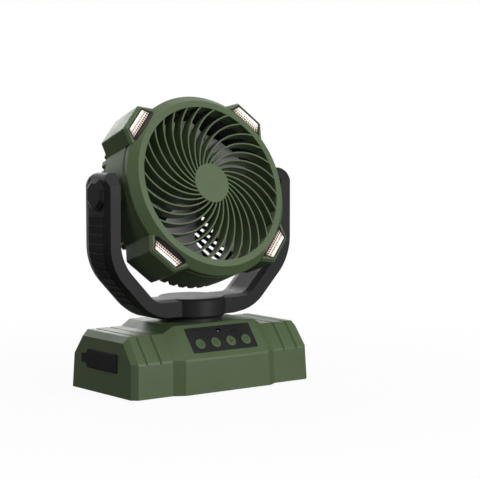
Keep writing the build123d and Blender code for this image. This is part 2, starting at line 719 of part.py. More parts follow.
def build_swivel():
    low = rim_z + yoke_bottom
    collar_top = low - swivel_gap
    collar = Pos(0, 0, block_top) * Cylinder(collar_radius, collar_top - block_top,
                                             align=upright)
    collar = chamfer(collar.edges().sort_by(Axis.Z)[-1], 0.8)
    collar -= Pos(0, 0, block_top) * Cylinder(spindle_radius + bush_wall, 60)
    keep("swivel_collar", collar)
    floor = block_top - base_wall
    bush_low = floor - 4
    bush = Pos(0, 0, bush_low) * Cylinder(spindle_radius + bush_wall, collar_top - bush_low,
                                          align=upright)
    bush += Pos(0, 0, bush_low) * Cylinder(spindle_radius + bush_wall + 4, floor - bush_low,
                                           align=upright)
    bush -= Pos(0, 0, bush_low) * Cylinder(spindle_radius + running_clearance, 80)
    keep("swivel_bush", bush)
    spindle_low = bush_low - 0.2 - washer_height - nut_height - 1
    spindle = Pos(0, 0, spindle_low) * Cylinder(spindle_radius, low - spindle_low,
                                                align=upright)
    spindle += Pos(0, 0, spindle_low) * Cylinder(spindle_bore, low + bar_height - 2 - spindle_low,
                                                 align=upright)
    spindle -= Pos(0, 0, spindle_low) * Cylinder(spindle_bore - 2.2, 120)
    keep("swivel_spindle", spindle)
    washer = Pos(0, 0, bush_low - 0.2) * Cylinder(spindle_radius + bush_wall + 3, washer_height,
                                                  align=hanging)
    washer -= Pos(0, 0, bush_low) * Cylinder(spindle_radius, 20)
    keep("swivel_washer", washer)
    nut = Pos(0, 0, bush_low - 0.2 - washer_height)
    nut = nut * extrude(RegularPolygon(spindle_radius + 4, 6), -nut_height)
    nut -= Pos(0, 0, bush_low) * Cylinder(spindle_radius, 40)
    keep("swivel_nut", nut)


# ---------------------------------------------------------------- head, modelled along its own axis
def ring_profile():
    back = shell_wall * 0.9
    skirt = head_radius - skirt_flare
    points = [(ring_inner, ring_front), (ring_outer, ring_front), (head_radius, bevel_back),
              (skirt, parting + parting_chamfer), (skirt - parting_chamfer, parting),
              (head_radius - shell_wall, parting), (head_radius - shell_wall, bevel_back - back / 2),
              (ring_outer - back / 2, ring_front - shell_wall), (ring_inner + duct_wall, ring_front - shell_wall),
              (ring_inner + duct_wall, parting), (ring_inner, parting)]
    return Plane.XZ * make_face(Polyline(*points, close=True))


def polar(radius, angle):
    return Vector(radius * cos(radians(angle)), radius * sin(radians(angle)))


def fin():
    """One vane: a strip of even thickness along a circular arc from the hub to the ring."""
    points = [polar(hub_radius - 1.0, fin_root), polar(fin_middle_radius, fin_middle), polar(ring_inner + 0.6, fin_tip)]
    arc = ThreePointArc(*points)
    centre = arc.arc_center
    lines = []
    for side in (0.5, -0.5):
        scale = 1 + side * fin_thickness / arc.radius
        lines.append(ThreePointArc(*[centre + (p - centre) * scale for p in points]))
    one, two = lines
    face = make_face([one, Line(one @ 1, two @ 1), two, Line(two @ 0, one @ 0)])
    return Pos(0, 0, fin_front) * Rot(Z=fin_phase) * extrude(face, -fin_depth)


def front_grille():
    ring = revolve(ring_profile(), Axis.Z)
    hub = Pos(0, 0, ring_front) * Cylinder(hub_radius, ring_front - fin_front + fin_depth,
                                           align=hanging)
    hub -= Pos(0, 0, ring_front - 2.4) * Cylinder(hub_radius - 2.0, 40, align=hanging)
    blade = fin()
    fins = [Rot(Z=i * 360 / fin_count) * blade for i in range(fin_count)]
    grille = ring + hub
    grille += fins
    notch = extrude(bezel_face(bezel_width + part_gap, lens_floor - part_gap), 20)
    return grille - [Rot(Z=a) * notch for a in pod_angles]


def pod_section(reach, trim, z):
    """Trapezoid across one diagonal, wide at the housing and narrow outside, with rounded outer corners."""
    slant = hypot(1, pod_flare)
    half = pod_half + (pod_reach - reach) * pod_flare - trim * slant
    root = pod_foot - 12
    spread = half + (reach - root) * pod_flare
    face = make_face(Polyline((reach, half), (root, spread), (root, -spread), (reach, -half), close=True))
    return Pos(0, 0, z) * fillet(face.vertices().sort_by(Axis.X)[-2:], pod_corner)


def pod_body():
    """One lamp pod, on the +X axis before it is turned to its diagonal."""
    rim = pod_section(pod_reach_back - pod_back_bevel, pod_back_trim + pod_back_bevel, head_back)
    back = pod_section(pod_reach_back, pod_back_trim, head_back + pod_back_bevel)
    shoulder = pod_section(pod_reach, 0.0, pod_shoulder)
    front = pod_section(pod_reach - pod_bevel, pod_side_bevel, pod_front)
    return loft([rim, back], ruled=True) + loft([back, shoulder], ruled=True) + loft([shoulder, front], ruled=True)


def lamp_face(margin, z):
    """The lens outline grown by margin."""
    outer, inner = lens_outer + margin, lens_inner - margin
    flare = (lens_inner_half - lens_outer_half) / (lens_outer - lens_inner)
    side = margin * hypot(1, flare)
    half_o = lens_outer_half - margin * flare + side
    half_i = lens_inner_half + margin * flare + side
    points = [(outer, half_o), (inner, half_i), (inner, -half_i), (outer, -half_o)]
    return Pos(0, 0, z) * make_face(Polyline(*points, close=True))


def wedge_face(margin, z):
    """The strip between the lens and the front ring, with rounded corners, grown by margin."""
    near, past, half = wedge_reach - margin, lens_inner + 0.8, wedge_half + margin
    face = make_face(Polyline((near, half), (past, half), (past, -half), (near, -half), close=True))
    return Pos(0, 0, z) * fillet(face.vertices().sort_by(Axis.X)[:2], wedge_corner)


def bezel_face(margin, z):
    return lamp_face(margin, z) + wedge_face(margin, z)


def under(inner, outer, drop=0.0):
    """Everything below a slanting plane through two points of reach and depth."""
    slope = (outer[1] - inner[1]) / (outer[0] - inner[0])
    near, far = lens_inner - 30, lens_inner + 30
    ends = [(x, inner[1] + (x - inner[0]) * slope - drop) for x in (near, far)]
    floor = min(ends[0][1], ends[1][1]) - 30
    profile = Polyline(ends[0], ends[1], (far, floor), (near, floor), close=True)
    return extrude(Plane.XZ * make_face(profile), 60, both=True)


def ring_clear(gap):
    """The front ring's outside, grown by gap, to cut its neighbours."""
    points = [(0, ring_front + 20), (ring_outer + gap, ring_front + 20), (ring_outer + gap, ring_front),
              (head_radius + gap, bevel_back), (head_radius + gap, parting), (0, parting)]
    return revolve(Plane.XZ * make_face(Polyline(*points, close=True)), Axis.Z)


pod_angles = [45 + 90 * i + pod_turn for i in range(4)]
diagonal_names = ["upper_right", "upper_left", "lower_left", "lower_right"]


def head_housing():
    outer = Pos(0, 0, head_back) * Cylinder(head_radius, parting - head_back,
                                            align=upright)
    rims = outer.edges().filter_by(GeomType.CIRCLE).sort_by(Axis.Z)
    outer = fillet(rims[0], 1.5)
    outer = chamfer(outer.edges().filter_by(GeomType.CIRCLE).sort_by(Axis.Z)[-1], parting_chamfer)
    pods = [Rot(Z=a) * pod_body() for a in pod_angles]
    body = outer
    for pod in pods:
        body += pod
    body -= ring_clear(part_gap)
    hollow = Cylinder(head_radius - shell_wall, 200, align=upright)
    body -= Pos(0, 0, head_back + shell_wall) * hollow
    duct = Cylinder(ring_inner + duct_wall, parting - head_back, align=upright)
    body += Pos(0, 0, head_back) * duct
    body -= Cylinder(ring_inner, 200)
    for a in pod_angles:
        mouth = extrude(bezel_face(bezel_width + part_gap, lens_floor), 2 * pod_pocket)
        well = extrude(lamp_face(-lens_ledge, pod_front - pod_pocket), 2 * pod_pocket)
        body -= Rot(Z=a) * (mouth + well)
    # bosses at the tilt axis
    for side in (1, -1):
        reach = arm_inner - pivot_gap
        body += Pos(side * (reach - 6), 0, 0) * Rot(Y=90) * Cylinder(pivot_boss_radius, 12)
        bore = 2 * (stub_reach + stub_end_gap)
        body -= Pos(side * arm_inner, 0, 0) * Rot(Y=90) * Cylinder(stub_radius + running_clearance, bore)
    return body


def build_lamps():
    inner, outer = (lens_inner, lens_top[0]), (lens_outer, lens_top[1])
    ring_slope = (ring_front - bevel_back) / (head_radius - ring_outer)
    crest = (wedge_reach, ring_front - (wedge_reach - ring_outer) * ring_slope)
    for a, name in zip(pod_angles, diagonal_names):
        turn = Rot(Z=a)
        lens = extrude(lamp_face(0.0, lens_floor), 20) & under(inner, outer)
        keep("lamp_lens_" + name, head_place * turn * lens)
        rim = extrude(lamp_face(bezel_width, lens_floor), 20) & under(inner, outer, 0.1)
        wedge = extrude(wedge_face(bezel_width, lens_floor), 20) & under(crest, inner) & ring_clear(0.0)
        bezel = rim + wedge - extrude(lamp_face(0.02, lens_floor - 5), 30)
        keep("lamp_bezel_" + name, head_place * turn * bezel)
    boards = []
    for a in pod_angles:
        board = extrude(lamp_face(-lens_ledge - part_gap, pod_front - pod_pocket), board_thickness)
        boards.append(head_place * Rot(Z=a) * board)
    keep("lamp_boards", Compound(boards))


def duct_liner():
    """Thin black tube that lines the air duct behind the fins."""
    outer = ring_inner - liner_gap
    return Pos(0, 0, head_back) * (Cylinder(outer, liner_front - head_back, align=upright)
                                   - Cylinder(outer - liner_wall, 200))


def rear_grille():
    """Black guard behind the impeller: rows of radial slots, toothed rim, motor seat in the middle."""
    back = head_back - rear_depth
    plan = Circle(rear_rim_outer)
    for i in range(rear_teeth):
        tooth = Pos(rear_tooth_reach - 2, 0) * Rectangle(4, rear_tooth_width)
        plan += Rot(Z=i * 360 / rear_teeth) * tooth
    body = Pos(0, 0, back) * extrude(plan, rear_depth)
    body -= Pos(0, 0, back + rear_plate) * Cylinder(rear_rim_inner, rear_depth, align=upright)
    slots = []
    for row in range(rear_rows):
        radius = rear_row_first + row * rear_row_pitch
        count = round(2 * pi * radius / rear_slot_pitch)
        slot = Pos(radius, 0, back) * Box(rear_slot_length, rear_slot_width, 3 * rear_plate)
        slots += [Rot(Z=(i + 0.5 * (row % 2)) * 360 / count) * slot for i in range(count)]
    body -= slots
    seat = Pos(0, 0, back) * Cylinder(seat_radius, rear_depth - seat_drop, align=upright)
    return body + seat


def blade():
    """One impeller blade: flat sections that turn flatter and grow wider from root to tip."""
    sections = []
    for radius, chord, pitch, lean in blade_sections:
        plane = Plane(origin=(radius, 0, (impeller_front + impeller_back) / 2), x_dir=(0, 1, 0), z_dir=(1, 0, 0))
        face = plane * Pos(lean, 0) * Rot(Z=pitch) * Rectangle(chord, blade_thickness)
        sections.append(face)
    return loft(sections)


def build_fan():
    align_max = (Align.CENTER, Align.CENTER, Align.MAX)
    hub = Pos(0, 0, impeller_front) * Cylinder(impeller_hub, impeller_front - impeller_back, align=align_max)
    hub = fillet(hub.edges().sort_by(Axis.Z)[-1], 2.0)
    hub -= Pos(0, 0, motor_front + 1.0) * Cylinder(motor_radius + 1.5, 60, align=align_max)
    hub -= Cylinder(shaft_radius, 100)
    vane = blade() & (Cylinder(blade_tip, 200) - Cylinder(impeller_hub - 1.2, 200))
    impeller = hub
    impeller += [Rot(Z=blade_phase + i * 360 / blade_count) * vane for i in range(blade_count)]
    keep("impeller", head_place * impeller)
    seat_z = head_back - seat_drop
    motor = Pos(0, 0, seat_z) * Cylinder(motor_radius, motor_front - seat_z,
                                         align=upright)
    motor -= Cylinder(shaft_radius + running_clearance, 100)
    keep("motor", head_place * motor)
    shaft_low = seat_z + 0.5
    shaft = Pos(0, 0, shaft_low) * Cylinder(shaft_radius, impeller_front + 3.4 - shaft_low,
                                            align=upright)
    keep("impeller_shaft", head_place * shaft)
    nut = Pos(0, 0, impeller_front) * extrude(RegularPolygon(nut_radius, 6), 2.6)
    nut -= Cylinder(shaft_radius, 100)
    keep("impeller_nut", head_place * nut)
    screw = Pos(0, 0, head_back - rear_depth - 1.2)
    screw = screw * Cylinder(screw_head_radius, 1.2, align=upright)
    ring = seat_radius - 5
    screws = [head_place * Pos(ring * cos(radians(a)), ring * sin(radians(a)), 0) * screw for a in pod_angles]
    keep("motor_screws", Compound(screws))


def build_head():
    keep("front_grille", head_place * front_grille())
    keep("head_housing", head_place * head_housing())
    keep("rear_grille", head_place * rear_grille())
    keep("duct_liner", head_place * duct_liner())
    build_lamps()
    build_fan()


build_base()
build_controls()
build_ports()
build_inside()
build_hook()
build_yoke()
build_yoke_trim()
build_swivel()
build_head()

for node, shape in nodes.items():
    export_step(shape, f"parts/{node}.step")
    print(node, round(shape.volume / 1000, 2), "cm3", len(shape.solids()), "solids")
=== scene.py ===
"""Looks of a portable camping fan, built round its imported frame.

Metres. +Z is up, the fan blows towards -Y, and the origin is the middle of the footprint, on the ground.
The head has axes of its own: across (x), up along its face (v) and forward out of the grille (w).
"""

import json
import math

import bmesh
import bpy
import numpy as np
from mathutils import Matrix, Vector


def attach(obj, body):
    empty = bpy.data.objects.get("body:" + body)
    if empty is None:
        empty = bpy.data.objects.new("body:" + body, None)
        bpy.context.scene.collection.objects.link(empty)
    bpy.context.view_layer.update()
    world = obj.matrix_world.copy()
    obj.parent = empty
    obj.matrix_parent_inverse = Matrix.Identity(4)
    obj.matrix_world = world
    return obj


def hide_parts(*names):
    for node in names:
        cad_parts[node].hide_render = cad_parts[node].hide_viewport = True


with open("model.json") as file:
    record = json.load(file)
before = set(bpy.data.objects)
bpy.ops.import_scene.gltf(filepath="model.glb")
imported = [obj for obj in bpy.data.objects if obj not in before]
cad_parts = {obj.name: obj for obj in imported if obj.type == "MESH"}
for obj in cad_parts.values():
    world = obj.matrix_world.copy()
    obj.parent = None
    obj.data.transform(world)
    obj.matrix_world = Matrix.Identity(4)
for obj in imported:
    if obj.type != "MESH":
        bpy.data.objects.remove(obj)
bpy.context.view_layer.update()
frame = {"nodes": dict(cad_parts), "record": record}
MM = 0.001

# ------------------------------------------------------------------ sizes shared with the solids, in mm
FOOT = 1.2
PIVOT = 193.1 + FOOT
TILT = math.radians(19.45)
LENS_OUTER, LENS_INNER = 100.6, 90.8
LENS_OUTER_HALF, LENS_INNER_HALF = 14.65, 18.7
LENS_OUTER_TOP, LENS_INNER_TOP = 31.8, 31.0
WALL_TOP = 34.3 + FOOT
BLOCK_FACE = 64.05 - 1.65
SLOPE = math.radians(52.2)
PANEL_RISE, PANEL_SHIFT = 6.8, 1.4
BUTTON_PITCH, BUTTON_RISE, BUTTON_STAND = 18.9, 9.7, 1.2
IMPELLER_TIP, IMPELLER_HUB, IMPELLER_FRONT, IMPELLER_BACK = 75.0, 20.0, 19.0, -11.0
MOTOR_ROOM, MOTOR_ROOM_FRONT, SHAFT = 18.0, 13.0, 2.0
GUARD_FRONT, GUARD_BACK, GUARD_PLATE = -15.0, -24.0, 2.4
GUARD_RIM_OUTER, GUARD_RIM_INNER, GUARD_TEETH_REACH = 90.4, 84.5, 93.8
GUARD_SEAT, GUARD_SEAT_FRONT = 24.0, -18.0
POD_ANGLES = {"upper_right": 45.97, "upper_left": 135.97, "lower_left": 225.97, "lower_right": 315.97}

# ------------------------------------------------------------------ sizes of the scene's own pieces, in mm
CELLS_INNER_EDGE, CELLS_OUTER_EDGE, CELLS_END_EDGE = 0.3, 0.8, 0.9   # dark edge left round a lens's lit cells
CELLS_STAND = 0.05                       # lowest point of the cells above the lens's flat face
GUARD_FIRST_ROW, GUARD_ROW_PITCH = 32.5, 9.5
GUARD_RIB = 1.7                          # width of the rings between two rows of slots
BAR_ROOT = 0.3                           # how far a bar between slots runs into its two rings
HUB_ROUND = 2.0                          # radius of the impeller hub's front edge
SIGN_LINE, SIGN_RISE, SIGN_ROOT = 0.62, 0.15, 0.05
SHARP_FROM = math.radians(32)            # edges that turn by more keep their crease


def head_point(x, v, w):
    """Head axes to the frame: turned up by the rest tilt, then lifted to the pivot. Arrays in mm, result in m."""
    y = v * math.sin(TILT) - w * math.cos(TILT)
    z = v * math.cos(TILT) + w * math.sin(TILT) + PIVOT
    return np.stack(np.broadcast_arrays(x, y, z), -1) * MM


def panel_point(x, s, n):
    """Panel axes to the frame: turned back by the slope, then set on the front wall. Arrays in mm, result in m.

    x runs across, s up the slope and n out of the panel.
    """
    s = s + PANEL_RISE
    y = -BLOCK_FACE + s * math.cos(SLOPE) - n * math.sin(SLOPE)
    z = WALL_TOP + s * math.sin(SLOPE) + n * math.cos(SLOPE)
    return np.stack(np.broadcast_arrays(x + PANEL_SHIFT, y, z), -1) * MM


# ------------------------------------------------------------------ meshes from grids
def grid_faces(rows, columns, wrap_rows=False, wrap_columns=False):
    """Quads between neighbouring points of a rows by columns grid, closed round where asked."""
    i = np.arange(rows if wrap_rows else rows - 1)
    j = np.arange(columns if wrap_columns else columns - 1)
    i, j = np.meshgrid(i, j, indexing="ij")
    i2, j2 = (i + 1) % rows, (j + 1) % columns
    quads = np.stack([i * columns + j, i2 * columns + j, i2 * columns + j2, i * columns + j2], -1)
    return quads.reshape(-1, 4)


def make_piece(name, points, faces, body, slot, material, replaces=(), smooth=True):
    """A mesh object from point and face arrays, tied to its body and its finish."""
    mesh = bpy.data.meshes.new(name)
    mesh.from_pydata(points.reshape(-1, 3).tolist(), [], faces.tolist())
    mesh.polygons.foreach_set("use_smooth", [smooth] * len(mesh.polygons))
    mesh.update()
    piece = bpy.data.objects.new(name, mesh)
    bpy.context.scene.collection.objects.link(piece)
    mesh.materials.append(material)
    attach(piece, body)
    if replaces:
        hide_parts(*replaces)
    return piece


def close_up(piece):
    """Joins the doubled points at seams and poles, then turns every face of the closed shells outwards."""
    work = bmesh.new()
    work.from_mesh(piece.data)
    bmesh.ops.remove_doubles(work, verts=work.verts, dist=1e-7)
    bmesh.ops.recalc_face_normals(work, faces=work.faces)
    work.to_mesh(piece.data)
    work.free()
    piece.data.set_sharp_from_angle(angle=SHARP_FROM)


def turned(profile, steps=120):
    """A closed outline of (r, w) points carried once round the head's axis."""
    r, w = np.array(profile, float).T
    t = np.arange(steps) * 2 * np.pi / steps
    points = head_point(np.cos(t)[:, None] * r, np.sin(t)[:, None] * r, np.tile(w, (steps, 1)))
    return points.reshape(-1, 3), grid_faces(steps, len(r), wrap_rows=True, wrap_columns=True)


def bar_faces(along):
    """Faces of one closed bar with four corners at each of its stations: four sides and two ends."""
    end = np.arange(4)
    return np.concatenate([grid_faces(along, 4, wrap_columns=True), [end, end + 4 * along - 4]])


def bars(stations):
    """Closed bars from an array of bars by stations by four corners by (x, v, w)."""
    count, along = stations.shape[:2]
    points = head_point(stations[..., 0], stations[..., 1], stations[..., 2])
    faces = (bar_faces(along)[None] + 4 * along * np.arange(count)[:, None, None]).reshape(-1, 4)
    return points.reshape(-1, 3), faces


def gather(parts):
    """Several point and face arrays as one pair."""
    points, faces, count = [], [], 0
    for part_points, part_faces in parts:
        points.append(part_points)
        faces.append(part_faces + count)
        count += len(part_points)
    return np.concatenate(points), np.concatenate(faces)


# ------------------------------------------------------------------ materials
def colour(hex_value):
    """sRGB hex to the linear values that the shader takes."""
    parts = np.array([int(hex_value[k:k + 2], 16) for k in (1, 3, 5)]) / 255
    low = parts / 12.92
    high = ((parts + 0.055) / 1.055) ** 2.4
    return (*np.where(parts <= 0.04045, low, high).tolist(), 1.0)


def add(tree, kind, inputs=None, **settings):
    """One node with its settings; inputs maps a socket's name or number to a value or to another node's socket."""
    made = tree.nodes.new(kind)
    for key, value in settings.items():
        setattr(made, key, value)
    for key, value in (inputs or {}).items():
        if isinstance(value, bpy.types.NodeSocket):
            tree.links.new(value, made.inputs[key])
        else:
            made.inputs[key].default_value = value
    return made


def new_material(name):
    """A material with an empty tree but its shader and output."""
    material = bpy.data.materials.new(name)
    material.use_nodes = True
    tree = material.node_tree
    tree.nodes.clear()
    shader = add(tree, "ShaderNodeBsdfPrincipled")
    add(tree, "ShaderNodeOutputMaterial", {"Surface": shader.outputs[0]})
    return material, tree, shader


def moulded(name, hex_value, roughness, grain_mm, grain_depth_mm, mottle=0.05, ior=1.5, rough_spread=0.06,
            edge_mm=0.6):
    """Moulded plastic or rubber: a spark-eroded grain, faint cloudy colour and uneven gloss.

    grain_mm is the grain's pitch, drawn a little coarser than the real 0.1 to 0.3 mm so that it shows. edge_mm is
    the small radius that a mould leaves on every edge, which catches a thin line of light.
    """
    material, tree, shader = new_material(name)
    place = add(tree, "ShaderNodeTexCoord").outputs["Object"]
    cloud = add(tree, "ShaderNodeTexNoise",
                {"Vector": place, "Scale": 1 / (28 * MM), "Detail": 3.0, "Roughness": 0.55})
    base = colour(hex_value)
    dark = tuple(c * (1 - mottle) for c in base[:3]) + (1,)
    light = tuple(min(1, c * (1 + mottle)) for c in base[:3]) + (1,)
    tint = add(tree, "ShaderNodeMix", {0: cloud.outputs["Fac"], 6: dark, 7: light}, data_type="RGBA")
    tree.links.new(tint.outputs[2], shader.inputs["Base Color"])
    gloss = add(tree, "ShaderNodeMapRange",
                {"Value": cloud.outputs["Fac"], "From Min": 0.3, "From Max": 0.7,
                 "To Min": roughness - rough_spread, "To Max": roughness + rough_spread})
    tree.links.new(gloss.outputs[0], shader.inputs["Roughness"])
    shader.inputs["IOR"].default_value = ior
    grain = add(tree, "ShaderNodeTexNoise",
                {"Vector": place, "Scale": 1 / (grain_mm * MM), "Detail": 2.0, "Roughness": 0.6})
    edge = add(tree, "ShaderNodeBevel", {"Radius": edge_mm * MM}, samples=6)
    bump = add(tree, "ShaderNodeBump", {"Height": grain.outputs["Fac"], "Strength": 0.6,
                                        "Distance": grain_depth_mm * MM, "Normal": edge.outputs[0]})
    tree.links.new(bump.outputs[0], shader.inputs["Normal"])
    return material


def metal(name, hex_value, roughness):
    """Plated or turned steel: bright, with a fine uneven polish."""
    material, tree, shader = new_material(name)
    place = add(tree, "ShaderNodeTexCoord").outputs["Object"]
    polish = add(tree, "ShaderNodeTexNoise", {"Vector": place, "Scale": 1 / (1.5 * MM), "Detail": 2.0})
    gloss = add(tree, "ShaderNodeMapRange",
                {"Value": polish.outputs["Fac"], "To Min": roughness - 0.08, "To Max": roughness + 0.08})
    tree.links.new(gloss.outputs[0], shader.inputs["Roughness"])
    shader.inputs["Base Color"].default_value = colour(hex_value)
    shader.inputs["Metallic"].default_value = 1.0
    return material


def lens_material():
    """Clear prismatic polycarbonate over lit warm-white lamps: crowns glow white, flanks peach, grooves brown.

    The peach and brown are painted shade of the prisms' flanks and grooves, in the lamps' glow as well.
    """
    material, tree, shader = new_material("prismatic_lens_over_warm_lamps")
    painted_groove_shade = add(tree, "ShaderNodeAttribute", attribute_name="painted_groove_shade").outputs["Fac"]
    flank = add(tree, "ShaderNodeMapRange", {"Value": painted_groove_shade, "From Max": 0.5})
    groove = add(tree, "ShaderNodeMapRange", {"Value": painted_groove_shade, "From Min": 0.5})
    warm = add(tree, "ShaderNodeMix", {0: flank.outputs[0], 6: colour("#fffdfa"), 7: colour("#d9bfae")},
               data_type="RGBA")
    tint = add(tree, "ShaderNodeMix", {0: groove.outputs[0], 6: warm.outputs[2], 7: colour("#33261f")},
               data_type="RGBA")
    # painted shade of the prisms darkens both the lens's colour and the lamps' glow through it
    tree.links.new(tint.outputs[2], shader.inputs["Base Color"])
    tree.links.new(tint.outputs[2], shader.inputs["Emission Color"])
    shader.inputs["Emission Strength"].default_value = 0.4
    shader.inputs["Roughness"].default_value = 0.18
    shader.inputs["IOR"].default_value = 1.58
    return material


ARMY_GREEN = "#607350"
finish = {
    # ABS moulded against a fine spark-eroded tool: satin, with a soft sheen at grazing light
    "green_plastic": moulded("army_green_textured_abs", ARMY_GREEN, 0.42, 0.9, 0.006, edge_mm=0.4),
    # the same in black, a little rougher: edges show before faces do
    "black_plastic": moulded("black_textured_abs", "#2b2b2b", 0.5, 0.9, 0.008, ior=1.42),
    # ABS against a finer tool: smoother and slightly lighter than the black round it
    "panel_plastic": moulded("dark_grey_satin_abs", "#2d2d2e", 0.38, 1.2, 0.01),
    # silicone rubber straight from the mould: deep black and dull
    "black_rubber": moulded("black_silicone_rubber", "#151515", 0.6, 0.8, 0.02, ior=1.42),
    # polypropylene from a polished tool: mid grey with broad, soft lights
    "grey_plastic": moulded("grey_satin_polypropylene", "#9a979a", 0.4, 1.4, 0.006),
    # polished filter plastic: black glass to the eye, with one sharp light
    "lens_black": moulded("infrared_black_gloss", "#060608", 0.08, 2.0, 0.0, rough_spread=0.02),
    # smoked acrylic pins that end flush in the panel: dark dots with a small light
    "indicator_plastic": moulded("smoked_light_pipe", "#0c0c0d", 0.2, 2.0, 0.0),
    # zinc plating on turned or pressed steel: pale and bright, uneven in its polish
    "steel": metal("zinc_plated_steel", "#b9b9bb", 0.3),
    # solder mask over copper: dark green varnish
    "circuit_board": moulded("green_solder_mask", "#123c22", 0.3, 1.5, 0.01),
    # moulded epoxy: dull black blocks
    "board_components": moulded("black_epoxy", "#1c1c1c", 0.4, 1.0, 0.01),
    # shrunk vinyl sleeve: blue, smooth and fairly glossy
    "cell_wrap": moulded("blue_shrink_wrap", "#1f4a86", 0.25, 3.0, 0.01),
    "lamp_lens_plastic": lens_material(),
    # matt ink, a darker green than the button under it
    "button_sign": moulded("dark_green_print", "#44523a", 0.5, 1.0, 0.0),
}

# a coarser grain and a deeper black than the black plastic: the black is partly painted shade inside the duct, so
# # that the inside of the duct and the guard look matt and almost without light
matt_black_with_duct_shade = moulded("black_abs_with_painted_duct_shade", "#141414", 0.6, 1.0, 0.008)

# ------------------------------------------------------------------ the solids get their finish
slot_of = {part["node"]: part["material_slot"] for part in frame["record"]["subparts"]}
# the head's big mouldings have the widest rounded edges
soft_green = moulded("army_green_soft_edged_abs", ARMY_GREEN, 0.42, 0.9, 0.006, edge_mm=1.3)
# the duct liner takes the black that carries the duct's painted shade
own_finish = {"duct_liner": matt_black_with_duct_shade, "head_housing": soft_green}
# the lenses' flat edge, outside the lit cells, is black
own_finish.update({name: finish["black_plastic"] for name, slot in slot_of.items() if slot == "lamp_lens_plastic"})
for name, item in frame["nodes"].items():
    item.data.materials.clear()
    item.data.materials.append(own_finish.get(name, finish[slot_of[name]]))


# ------------------------------------------------------------------ prismatic lamp lenses
def prism_lens(name, angle, borders=(0, 0.27, 0.56, 1), columns=13, steps=10, relief=0.55):
    """A tapered sheet of pyramid cells in three rows, the outermost the widest.

    u runs out along the diagonal and t across it, and the rows meet at the borders in u. Each cell rises by relief
    times 1.25 (1 - max(|a|, |b|)), no higher than 1, where a and b go from -1 to 1 over the cell, so that its crown
    is flat and its rim lies just above the lens's own face. The painted groove shade is 0 on a crown and rises
    steeply to the grooves: to 1 at the corners where four cells meet, less along a groove. It is higher in the row
    next to the grille ring, which the bezel shades, and in the two end cells: painted shade over those whole cells.
    """
    row = np.linspace(0, len(borders) - 1, (len(borders) - 1) * steps + 1)
    t = np.linspace(-1, 1, columns * steps + 1)
    row, t = np.meshgrid(row, t, indexing="ij")
    u = np.interp(row, np.arange(len(borders)), borders)
    a = 2 * np.mod(row, 1) - 1
    b = 2 * np.mod((t + 1) / 2 * columns, 1) - 1
    a = np.where(row > len(borders) - 1 - 1e-9, 1.0, a)
    b = np.where(t > 1 - 1e-9, 1.0, b)
    crown = np.clip(1.25 * (1 - np.maximum(np.abs(a), np.abs(b))), 0, 1)
    d = LENS_INNER + CELLS_INNER_EDGE + (LENS_OUTER - LENS_INNER - CELLS_INNER_EDGE - CELLS_OUTER_EDGE) * u
    half = (LENS_INNER_HALF - CELLS_END_EDGE) + (LENS_OUTER_HALF - LENS_INNER_HALF) * u
    across = t * half
    w = LENS_INNER_TOP + (LENS_OUTER_TOP - LENS_INNER_TOP) * (d - LENS_INNER) / (LENS_OUTER - LENS_INNER)
    w = w + CELLS_STAND + relief * crown
    turn = math.radians(angle)
    x = d * math.cos(turn) - across * math.sin(turn)
    v = d * math.sin(turn) + across * math.cos(turn)
    points = head_point(x, v, w)
    faces = grid_faces(*u.shape)
    piece = make_piece(name, points, faces, "fan_head", "lamp_lens_plastic", finish["lamp_lens_plastic"],
                       smooth=False)
    painted_groove_shade = piece.data.attributes.new("painted_groove_shade", "FLOAT", "POINT")
    # painted shade in the grooves between rows, about 1 mm to each side, strongest where they cross the grooves
    # between cells
    near = np.min([np.abs(u - edge) for edge in borders[:-1]], axis=0) * (LENS_OUTER - LENS_INNER)
    crossing_shade = 0.4 + 0.6 * np.clip((np.abs(b) - 0.3) / 0.4, 0, 1)
    row_groove_shade = np.clip(2.1 - near / 0.5, 0, 1) * crossing_shade
    # painted shade: the row next to the ring and the cells at both ends are darker as a whole
    inner_row = np.clip((borders[1] + 0.05 - u) / 0.1, 0, 1)
    cell_groove_shade = np.clip((np.abs(b) - 0.55) / 0.35, 0, 1) * (0.16 + 0.8 * inner_row)
    end_cells = np.clip((np.abs(t) - 1 + 2.4 / columns) * columns / 2, 0, 1)
    shade = 0.24 * inner_row + 0.4 * end_cells
    painted_groove_shade.data.foreach_set("value", np.clip(np.maximum(row_groove_shade, cell_groove_shade) + shade, 0, 1).ravel())


for corner, angle in POD_ANGLES.items():
    prism_lens("lens_cells_" + corner, angle)


